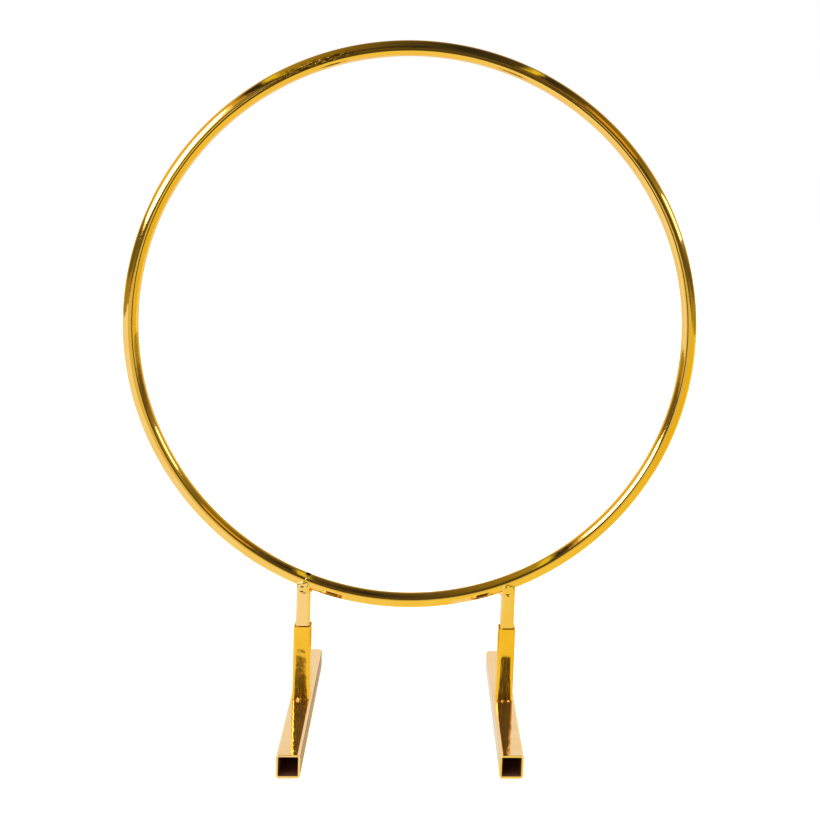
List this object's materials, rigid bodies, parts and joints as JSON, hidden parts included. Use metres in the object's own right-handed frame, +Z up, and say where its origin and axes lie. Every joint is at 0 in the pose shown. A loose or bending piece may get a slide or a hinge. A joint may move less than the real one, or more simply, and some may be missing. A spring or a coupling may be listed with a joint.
{
  "type": "wreath frame",
  "caption": "Free-standing tube hoop for a wreath, on square legs that plug into sockets on front-to-back feet.",
  "frame": {"origin": "middle of the four foot corners, on the surface that the frame stands on", "axes": "+Z up; +X from the left foot to the right foot; +Y from the front to the back, through the hoop"},
  "size_m": [0.406, 0.2, 0.4909],
  "materials": {
    "hoop_plate": "mirror-bright gold-colour electroplate on steel tube, with fine polishing marks",
    "square_tube_plate": "mirror-bright gold-colour electroplate on square steel tube, with light scratches",
    "foot_plate": "mirror-bright gold-colour electroplate on square steel tube, with light scratches",
    "weld_plate": "rippled weld bead plated over in bright gold colour"
  },
  "bodies": {
    "left_foot_unit": {"left_foot": "foot_plate", "left_socket": "square_tube_plate", "left_socket_weld": "weld_plate"},
    "hoop_unit": {"hoop_tube": "hoop_plate", "hoop_closing_weld": "weld_plate", "left_leg": "square_tube_plate", "right_leg": "square_tube_plate", "left_leg_weld": "weld_plate", "right_leg_weld": "weld_plate"},
    "right_foot_unit": {"right_foot": "foot_plate", "right_socket": "square_tube_plate", "right_socket_weld": "weld_plate"}
  },
  "joints": [
    {"name": "hoop_lift", "type": "slide", "parent": "left_foot_unit", "child": "hoop_unit", "axis": [0, 0, 1], "range_m": [0, 0.07]},
    {"name": "right_foot_stay", "type": "slide", "parent": "hoop_unit", "child": "right_foot_unit", "axis": [0, 0, -1], "range_m": [0, 0.07]}
  ],
  "couplings": [
    {"joint": "right_foot_stay", "follows": "hoop_lift", "ratio": 1}
  ]
}
